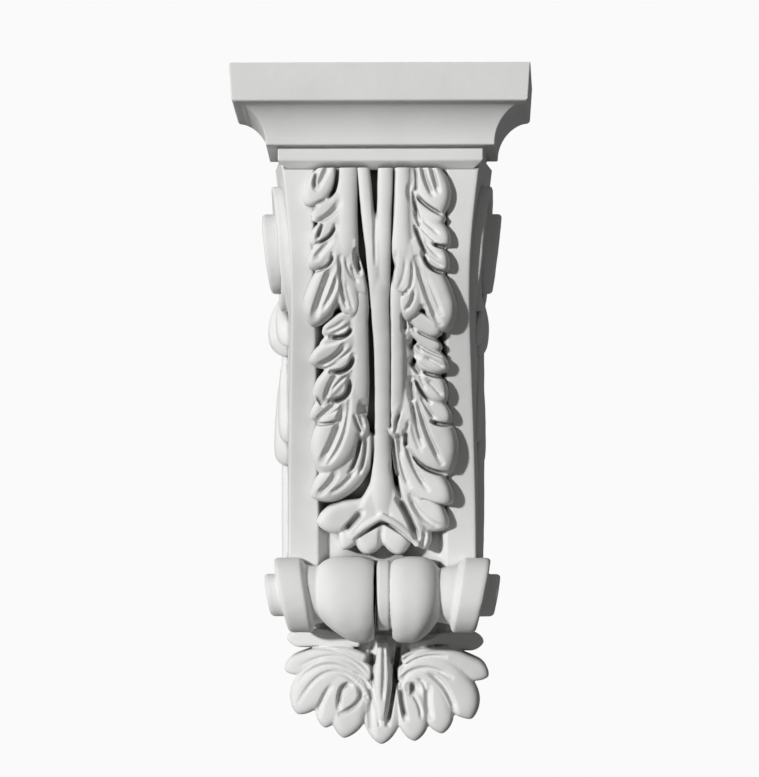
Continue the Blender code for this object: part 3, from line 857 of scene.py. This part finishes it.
LOWER_CUTS = (
    ((-36, 172.5), (-30, 171), (-24, 166), 2.0, 1.3),
    ((-32, 174.5), (-26, 173), (-20, 168), 2.0, 1.3),
    ((-19.3, 170), (-21, 178.5), (-33, 177), 3.0, 8.0),
    ((-36, 182), (-30, 181), (-24, 178), 1.8, 1.2),
    ((-24, 182), (-28, 190), (-41, 195.5), 3.8, 4.4),
    ((-21, 186), (-26, 190.5), (-32, 193), 2.0, 1.6),
    ((-18.3, 189), (-20, 201), (-33, 200), 3.4, 8.0),
    ((-28, 200), (-35, 207), (-37, 218), 3.4, 3.4),
    ((-22, 202), (-28, 206), (-33.5, 213), 2.2, 2.0),
    ((-21.3, 204), (-19.5, 219), (-34, 219.5), 3.8, 8.0),
    ((-43, 217), (-41, 220), (-39.5, 222), 2.2, 4.0),
    ((-28, 220), (-36, 225), (-43, 232), 3.4, 3.2),
    ((-25, 220), (-27, 225.5), (-35, 228), 2.2, 1.6),
    ((-28, 232), (-37, 236.5), (-48, 234), 2.4, 5.0),
    ((-25, 220), (-28, 240), (-40, 260), 5.4, 4.6),
    ((-21.5, 216), (-22, 245), (-36, 261), 3.2, 3.6),
    ((-12, 221.5), (-12.3, 225), (-12, 228.5), 6.5, 4.5),
    ((-18, 229), (-16.5, 236), (-13.5, 241), 2.2, 3.6),
    ((-14.6, 229.5), (-13, 233), (-11.8, 237), 1.6, 2.0),
    ((-15.5, 242), (-14.6, 256), (-22, 268), 2.6, 5.0),
    ((-11, 243), (-10.4, 256), (-15, 268), 2.4, 4.0),
    ((-6.3, 224), (-5.6, 250), (-6.6, 272), 1.8, 6.0),
    ((-7.6, 160), (-7.2, 190), (-6.0, 224), 2.6, 6.0),
    ((-31, 268), (-34, 275), (-42, 282), 4.6, 4.0),
    ((-18, 266), (-25, 277), (-34, 281), 3.0, 3.0),
    ((-9.5, 266), (-11.5, 277), (-19, 283), 2.6, 2.0),
    ((-47, 287), (-38, 290.5), (-26, 289.5), 3.0, 7.0),
    ((-27, 289.5), (-17, 290), (-9, 281), 3.0, 4.5),
    ((6.6, 158), (6.2, 190), (5.4, 226), 1.6, 7.0),
    ((6.0, 227), (4.4, 232), (6.2, 238), 2.6, 7.0),
    ((15, 163), (15.8, 168), (15.5, 172.5), 3.6, 4.0),
    ((17.5, 164.5), (20, 168.5), (23.5, 173.5), 2.0, 2.4),
    ((24, 173), (31, 177), (44, 181), 2.2, 3.6),
    ((22, 179), (25, 183), (27, 186), 1.6, 1.8),
    ((23, 181), (31, 187), (44, 191), 2.2, 3.6),
    ((19.5, 180), (20.5, 186), (25, 190), 3.6, 5.0),
    ((20, 192), (23, 198), (26.5, 201), 4.0, 6.0),
    ((27, 199), (35, 203.5), (45, 203), 2.6, 6.0),
    ((19.5, 205), (19.5, 212), (21.5, 220), 4.6, 5.5),
    ((30, 190.5), (36, 193), (42, 197), 2.6, 2.4),
    ((31, 205), (36, 210), (41, 216), 3.0, 2.6),
    ((22.8, 204), (26, 214), (33, 220), 2.8, 8.0),
    ((25.5, 201), (27, 206.5), (29.5, 211), 2.0, 2.0),
    ((26, 216), (31, 224), (36, 231.5), 3.2, 3.8),
    ((34, 233), (41, 236.5), (49, 234.5), 2.8, 7.0),
    ((20.5, 218), (22.5, 233), (27.5, 249), 3.2, 4.4),
    ((23.5, 216), (29, 240), (40.5, 261), 4.0, 4.6),
    ((20.5, 232), (22.5, 245), (26.5, 253), 3.2, 1.6),
    ((20, 254), (27, 268), (46, 268.5), 3.0, 7.0),
    ((12.5, 227), (9, 234), (9.5, 241), 1.8, 3.4),
    ((18, 233), (17.5, 238), (15.5, 242), 1.8, 3.4),
    ((16, 240), (17, 245), (16.4, 250), 3.2, 7.0),
    ((7, 243), (8.4, 258), (12.5, 276), 2.6, 5.5),
    ((11.5, 244), (12, 250), (13, 256), 3.4, 3.6),
    ((11.5, 252), (13, 266), (19, 277), 3.4, 3.4),
    ((16.5, 248), (20, 264), (31, 279), 3.4, 3.6),
    ((5.2, 240), (6.4, 262), (9.0, 288), 2.6, 3.0),
    ((28, 287), (36, 291), (47, 291), 3.0, 7.0),
)
CAP_CUTS = (
    ((-5, 60), (-4.6, 80), (-3.2, 101), 3.0, 3.0),
    ((-2.7, 60), (-2.5, 75), (-3.2, 92), 1.4, 6.0),
    ((-3.6, 98), (-3.4, 112), (-3.0, 130), 1.6, 1.6),
    ((6.5, 262), (8.5, 275), (14, 290), 3.4, 3.6),
    ((-0.5, 301.5), (-9, 306), (-18, 313.5), 2.6, 4.0),
    ((0.5, 301.5), (11, 306), (23, 318), 2.6, 4.0),
    ((-0.5, 307), (-1, 314), (-0.5, 322), 4.0, 2.4),
    ((1, 318), (1, 321), (1, 326), 4.0, 4.0),
    ((-14, 295), (-19, 301), (-25, 307), 4.6, 7.0),
    ((11, 286), (18, 296), (23.5, 312), 4.4, 8.0),
    ((20, 284), (24, 300), (42, 306), 4.4, 3.6),
    ((28.5, 309), (29, 313), (27, 318), 2.8, 2.6),
    ((-31, 311), (-36, 313), (-42, 309), 2.2, 2.0),
)
PALM_CUTS = (
    ((14, 383), (26, 384), (36, 380), 5, 10),
    ((-60, 391), (-22, 386), (-8, 409), 2.4, 1.8),
    ((-56, 402), (-27, 385), (-8, 414), 2.2, 1.4),
    ((-64, 421), (-38, 383), (-8, 420), 3.6, 2.2),
    ((-58, 427), (-34, 385), (-8, 428), 3.0, 1.8),
    ((-22, 407), (-8, 408), (-5, 440), 3.0, 3.0),
    ((-36, 417), (-43, 425), (-44, 436), 3.6, 2.6),
    ((-22.5, 415), (-31, 414), (-30, 431), 3.4, 4.4),
    ((-17, 415.5), (-10.5, 427), (-29, 435), 3.4, 4.4),
    ((-7, 424), (-9, 435), (-7, 449), 4.8, 2.6),
    ((0.8, 388), (0.6, 405), (0.2, 424), 1.6, 3.0),
    ((6.8, 392), (5.4, 415), (2.0, 437), 1.8, 2.4),
    ((10.8, 388), (8.4, 412), (3.4, 442), 3.2, 8.0),
    ((-9.0, 390), (-7.2, 412), (-2.4, 442), 2.4, 4.0),
    ((12, 401), (22, 390), (44, 390), 3.0, 3.0),
    ((11, 407), (22, 393), (43, 396), 2.8, 2.4),
    ((11, 414), (24, 396), (47, 410), 3.4, 2.6),
    ((12, 420), (14, 402), (32, 406), 2.4, 2.4),
    ((31, 406), (46, 415), (50, 434), 3.8, 3.6),
    ((18.6, 418), (20.5, 418), (22.4, 418), 8.0, 7.0),
    ((21, 422), (26, 428), (26.5, 437), 2.4, 2.0),
    ((12.6, 417), (12.8, 428), (15.8, 438), 3.6, 7.0),
    ((31.5, 417), (30.5, 427), (33, 437), 4.6, 3.6),
    ((24.5, 411), (29, 413), (30, 420), 2.4, 2.0),
)


# --- operators ---


class CORBEL_OT_abacus(bpy.types.Operator):
    """Fascia, cove and bead, drawn down from the top face"""

    bl_idname = "corbel.abacus"
    bl_label = "Top moulding"

    def execute(self, context):
        foot = FASCIA_HALF - FASCIA_LEAN - SOFT_EDGE
        profile = [(FASCIA_DROP - SOFT_EDGE, FASCIA_HALF - FASCIA_LEAN, FASCIA_LEAN / 3)]
        profile.append((FASCIA_DROP, foot, SOFT_EDGE))
        for i in range(1, COVE_STEPS + 1):
            a = pi / 2 * i / COVE_STEPS
            drop = FASCIA_DROP + (COVE_DROP - SOFT_EDGE - FASCIA_DROP) * (1 - cos(a)) ** COVE_ROUND
            half = foot + (COVE_HALF - foot) * sin(a)
            profile.append((drop, half, SOFT_EDGE + (COVE_DEPTH - SOFT_EDGE) * sin(a)))
        profile.append((COVE_DROP, COVE_HALF, COVE_DEPTH))
        profile.append((COVE_DROP, BEAD_HALF, BEAD_DEPTH))
        profile.append((BEAD_DROP, BEAD_HALF, BEAD_DEPTH))
        profile.append((SOFFIT_DROP, BEAD_HALF - SOFFIT_INSET, BEAD_DEPTH + SOFFIT_INSET))
        select_only()
        bpy.ops.mesh.primitive_plane_add(size=1)
        obj = bpy.context.object
        obj.name = obj.data.name = "abacus"

        def plan(x, y, z):
            half, depth = (FASCIA_HALF, 0) if y < 0 else (HIGH.x, DEPTH)
            return point(2 * x * half, depth, 0)

        reshape(obj, plan)
        select_only(obj)
        bpy.ops.object.mode_set(mode="EDIT")
        bpy.ops.mesh.select_all(action="SELECT")
        was = (0.0, FASCIA_HALF, 0.0)
        for drop, half, depth in profile:
            bpy.ops.mesh.extrude_region_move(TRANSFORM_OT_translate={"value": (0, 0, (was[0] - drop) * MM)})
            shrink = (half / was[1], (DEPTH - depth) / (DEPTH - was[2]), 1)
            bpy.ops.transform.resize(value=shrink, center_override=(0, 0, height(drop)))
            was = (drop, half, depth)
        bpy.ops.object.mode_set(mode="OBJECT")
        face_outward(obj)
        round_edges(obj, SOFT_EDGE * MM, 3)
        hand_over(obj, planes=True)
        return {"FINISHED"}


class CORBEL_OT_body(bpy.types.Operator):
    """Scrolled bracket: border strips, the sunk channel between them and the drafted sides"""

    bl_idname = "corbel.body"
    bl_label = "Bracket"

    def execute(self, context):
        select_only()
        bpy.ops.mesh.primitive_grid_add(x_subdivisions=BODY_SECTION, y_subdivisions=BODY_ROWS, size=2)
        obj = bpy.context.object
        obj.name = obj.data.name = "bracket_body"

        def shape(x, y, z):
            drop = BODY_TOP + (FOOT_END - BODY_TOP) * (y + 1) / 2
            front = face_depth(drop) + NECK_SET_BACK * (1 - smooth((drop - SOFFIT_DROP + 2) / 2))
            front = min(front + FOOT_SET_BACK * smooth((drop - FOOT_STEP) / 8), DEPTH - FOOT_LEAST)
            edge = half_width(front, drop)
            floor = front + CHANNEL_SINK
            covered = drop < SOFFIT_DROP or drop > PALM_TOP
            back = DEPTH - (BACK_INSET if covered else 0)
            half_ring = [(0, floor), (CHANNEL_HALF - 1, floor), (CHANNEL_HALF, floor - 0.6)]
            half_ring += [(CHANNEL_LIP - 0.8, front + 0.9), (CHANNEL_LIP + 0.2, front + 0.1)]
            half_ring += [(CHANNEL_LIP + 1.5, front), (edge - 3, front)]
            half_ring += [(edge - 1.4, front), (edge - 0.4, front + 0.4), (edge, front + 1.4)]
            half_ring += [(half_width(front + 4, drop), front + 4)]
            half_ring += [(half_width(DEPTH, drop), back), (0, back)]
            step = min(int(round((x + 1) / 2 * BODY_SECTION)), BODY_SECTION)
            side = -1 if step < BODY_SECTION / 2 else 1
            px, pdepth = half_ring[min(abs(step - BODY_SECTION // 2), len(half_ring) - 1)]
            return point(side * px, pdepth, drop)

        reshape(obj, shape)
        face_outward(obj)
        close_ends(obj)
        face_outward(obj)
        hand_over(obj, planes=True)
        return {"FINISHED"}


class CORBEL_OT_leaves(bpy.types.Operator):
    """Both tiers of half leaves, with their round ribs and the stem between them"""

    bl_idname = "corbel.leaves"
    bl_label = "Acanthus leaves"

    def execute(self, context):
        sizes = context.scene.corbel_sizes
        tiers = (
            ("upper_acanthus", UPPER_LEFT + UPPER_RIGHT, UPPER_RIBS, UPPER_CUTS, 3),
            ("lower_acanthus", LOWER_LEFT + LOWER_RIGHT, LOWER_RIBS, LOWER_CUTS, 3),
            ("stem_cap", CAP, STEMS + CAP_RIBS, CAP_CUTS, 8),
        )
        for name, lobes, ribs, cuts, softening in tiers:
            forms = [lobe_form(on_front, lobe, BED) for lobe in lobes]
            forms += [rib_form(on_front, rib, BED) for rib in ribs]
            obj = fused(name, forms, sizes.leaf_voxel, LEAF_FACES, softening, cuts, channel_floor)
            hand_worked(obj)
            hand_over(obj)
        return {"FINISHED"}


class CORBEL_OT_bolster(bpy.types.Operator):
    """Ring, bells, end rolls and eyes turned about one horizontal axis"""

    bl_idname = "corbel.bolster"
    bl_label = "Bolster"

    def execute(self, context):
        sizes = context.scene.corbel_sizes

        def turned(side, profile, taper, pinch=0.0):
            line = [(float(x), float(r)) for x, r in profile]

            def shape(x, y, z):
                along = acos(min(max(z, -1.0), 1.0)) / pi
                k = along * (len(line) - 1)
                i = min(int(k), len(line) - 2)
                f = k - i
                px = line[i][0] * (1 - f) + line[i + 1][0] * f
                radius = line[i][1] * (1 - f) + line[i + 1][1] * f
                a = atan2(y, x)
                radius = radius if 0 < along < 1 else 0.0
                drop = BOLSTER_DROP + radius * sin(a)
                lean = 1 - taper * (drop - BOLSTER_DROP)
                if pinch:
                    low = (drop - BOLSTER_DROP) / BELL_RADIUS
                    lean = 1 - pinch * (0.2 * (1 + low) + 0.8 * max(low, 0.0) ** 2)
                    px = line[0][0] + (px - line[0][0]) * lean
                    return point(side * px, BOLSTER_DEPTH + radius * cos(a), drop + BELL_HANG)
                return point(side * px * lean, BOLSTER_DEPTH + radius * cos(a), drop)

            return reshape(ball(TURNED_SEGMENTS, 5 * len(line)), shape)

        forms = [turned(1, RING, 0.0)]
        for side, start, length, pinch in BELLS:
            profile = []
            for i in range(BELL_STEPS + 1):
                t = 0.5 - 0.5 * cos(pi * i / BELL_STEPS)
                swell = sqrt(max(0.0, 1 - (abs(t - BELL_CREST) / BELL_REACH) ** 3.0))
                profile.append((start + length * t, max(BELL_RADIUS * swell, BELL_LEAST)))
            forms.append(turned(side, profile, 0.0, pinch))
            forms.append(turned(side, NECK, 0.0))
        for side in (-1, 1):
            forms.append(turned(side, ROLL, END_TAPER))
            forms.append(turned(side, ROLL_EYE, EYE_TAPER))
        obj = fused("bolster", forms, sizes.roll_voxel, ROLL_FACES)
        hand_worked(obj)
        hand_over(obj)
        return {"FINISHED"}


class CORBEL_OT_palmette(bpy.types.Operator):
    """Hanging leaf at the foot, solid back to the wall"""

    bl_idname = "corbel.palmette"
    bl_label = "Pendant palmette"

    def execute(self, context):
        sizes = context.scene.corbel_sizes
        wall = PALM_DEPTH - DEPTH + 0.5
        lobes = (PALM_BACK,) + PALM_LEFT + PALM_RIGHT + PALM_CENTRE
        forms = [lobe_form(on_palm, lobe, wall) for lobe in lobes]
        obj = fused("pendant_palmette", forms, sizes.leaf_voxel, LEAF_FACES, cuts=PALM_CUTS, floor=wall_floor)
        hand_worked(obj)
        hand_over(obj)
        return {"FINISHED"}


class CORBEL_OT_volutes(bpy.types.Operator):
    """Scroll band, eye, bud and trailing leaf on both side faces"""

    bl_idname = "corbel.volutes"
    bl_label = "Side volutes"

    def execute(self, context):
        sizes = context.scene.corbel_sizes
        for side, name in ((-1, "left_volute"), (1, "right_volute")):
            place = on_side(side)
            forms = []
            for lobe in SIDE_LEAVES:
                lifts = tuple(SIDE_SWELL[side] * lift for lift in lobe.lift)
                forms.append(lobe_form(place, lobe._replace(lift=lifts), SIDE_BED))
            forms.append(rib_form(place, TRAIL, SIDE_BED))
            select_only()
            bpy.ops.mesh.primitive_grid_add(x_subdivisions=BAND_SECTION, y_subdivisions=BAND_ROWS, size=2)
            band = bpy.context.object

            def shape(x, y, z):
                t = (y + 1) / 2
                a = -radians(SPIRAL_START + SPIRAL_TURN * t)
                outer = SPIRAL_RADIUS - SPIRAL_DRAW * t
                inner = outer - BAND_WIDTH * (1 - BAND_NARROWING * t)
                lift = BAND_LIFT * smooth(t / BAND_RISE) * (1 - BAND_SINKING * t)
                k = int(round((x + 1) / 2 * BAND_SECTION)) % BAND_SECTION
                r, out = (
                    (outer, SIDE_BED), (outer, lift - 1), (outer - 1, lift), (inner + 3, lift),
                    (inner + 1, lift - 0.8), (inner, lift - 2), (inner, SIDE_BED), (inner + 2, SIDE_BED),
                )[k]
                drop = max(SCROLL_DROP + r * cos(a), BEAD_DROP - 1)
                return place(SCROLL_DEPTH + r * sin(a), drop, out)

            reshape(band, shape)
            face_outward(band)
            close_ends(band)
            forms.append(band)
            select_only()
            bpy.ops.mesh.primitive_cylinder_add(
                vertices=DISC_SEGMENTS, radius=EYE_RADIUS, depth=EYE_THICK
            )
            eye = bpy.context.object
            round_edges(eye, 2.5, 4)

            def eye_shape(x, y, z, side=side):
                out = EYE_HALF - EYE_THICK / 2 + z - EYE_TILT * y
                return point(side * out, SCROLL_DEPTH + x, SCROLL_DROP + y)

            reshape(eye, eye_shape)
            forms.append(eye)
            obj = fused(name, forms, sizes.roll_voxel, ROLL_FACES)
            hand_worked(obj)
            hand_over(obj)
        return {"FINISHED"}


class CORBEL_OT_stage(bpy.types.Operator):
    """White floor and backdrop, the lamp and the camera"""

    bl_idname = "corbel.stage"
    bl_label = "Stage"

    def execute(self, context):
        scene = context.scene
        light, finish = scene.corbel_light, scene.corbel_finish
        select_only()
        bpy.ops.mesh.primitive_cylinder_add(
            vertices=DISC_SEGMENTS, radius=BOWL_RADIUS, depth=BOWL_HEIGHT, location=(0, 0, BOWL_CENTRE)
        )
        bowl = bpy.context.object
        bowl.name = bowl.data.name = "cyclorama"
        bpy.ops.object.transform_apply(location=True)
        round_edges(bowl, BOWL_BEND, 8)
        bpy.ops.object.mode_set(mode="EDIT")
        bpy.ops.mesh.select_all(action="SELECT")
        bpy.ops.mesh.flip_normals()
        bpy.ops.object.mode_set(mode="OBJECT")
        bpy.ops.object.shade_smooth()
        white = bpy.data.materials.new("stage_white")
        white.use_nodes = True
        shader = white.node_tree.nodes["Principled BSDF"]
        shader.inputs["Base Color"].default_value = (0, 0, 0, 1)
        shader.inputs["Roughness"].default_value = 1.0
        shader.inputs["Specular IOR Level"].default_value = 0.0
        shader.inputs["Emission Color"].default_value = (1, 1, 1, 1)
        shader.inputs["Emission Strength"].default_value = finish.stage_white
        bowl.data.materials.append(white)
        bowl.visible_diffuse = False
        bowl.visible_glossy = False
        bowl.visible_shadow = False

        world = bpy.data.worlds.new("studio")
        world.use_nodes = True
        sky = world.node_tree.nodes["Background"]
        sky.inputs["Color"].default_value = (1, 1, 1, 1)
        sky.inputs["Strength"].default_value = light.ambient
        scene.world = world

        flat = LAMP_REACH * cos(light.key_rise)
        away = (-flat * sin(light.key_turn), -flat * cos(light.key_turn), LAMP_REACH * sin(light.key_rise))
        spot = LAMP_AIM + Vector(away)
        bpy.ops.object.light_add(type="SUN", location=spot)
        key = bpy.context.object
        key.name = "key_lamp"
        key.data.angle = LAMP_SPREAD
        key.data.energy = light.key_power
        key.rotation_euler = (LAMP_AIM - spot).to_track_quat("-Z", "Y").to_euler()

        turn, distance = light.camera_turn, light.camera_distance
        bpy.ops.object.camera_add(
            location=(sin(turn) * distance, -DEPTH * MM - cos(turn) * distance, height(CAMERA_DROP)),
            rotation=(radians(90), 0, turn),
        )
        camera = bpy.context.object
        camera.data.sensor_width = SENSOR_WIDTH
        camera.data.lens = LENS
        camera.data.clip_end = 20
        scene.camera = camera
        scene.view_settings.view_transform = "Standard"
        return {"FINISHED"}


class CORBEL_PT_panel(bpy.types.Panel):
    """Everything the corbel is made with"""

    bl_label = "Corbel"
    bl_idname = "CORBEL_PT_panel"
    bl_space_type = "VIEW_3D"
    bl_region_type = "UI"
    bl_category = "Corbel"

    def draw(self, context):
        scene = context.scene
        for group in (scene.corbel_sizes, scene.corbel_finish, scene.corbel_light):
            box = self.layout.box()
            for name in group.__annotations__:
                box.prop(group, name)
        for operator in STEPS:
            self.layout.operator(operator.bl_idname)


GROUPS = (CorbelSizes, CorbelFinish, CorbelLight)
STEPS = (
    CORBEL_OT_abacus,
    CORBEL_OT_body,
    CORBEL_OT_leaves,
    CORBEL_OT_bolster,
    CORBEL_OT_palmette,
    CORBEL_OT_volutes,
    CORBEL_OT_stage,
)


def register():
    for item in GROUPS + STEPS + (CORBEL_PT_panel,):
        bpy.utils.register_class(item)
    bpy.types.Scene.corbel_sizes = PointerProperty(type=CorbelSizes)
    bpy.types.Scene.corbel_finish = PointerProperty(type=CorbelFinish)
    bpy.types.Scene.corbel_light = PointerProperty(type=CorbelLight)


def unregister():
    del bpy.types.Scene.corbel_sizes
    del bpy.types.Scene.corbel_finish
    del bpy.types.Scene.corbel_light
    for item in reversed(GROUPS + STEPS + (CORBEL_PT_panel,)):
        bpy.utils.unregister_class(item)


def main():
    register()
    bpy.ops.corbel.abacus()
    bpy.ops.corbel.body()
    bpy.ops.corbel.leaves()
    bpy.ops.corbel.bolster()
    bpy.ops.corbel.palmette()
    bpy.ops.corbel.volutes()
    bpy.ops.corbel.stage()


if __name__ == "__main__":
    main()
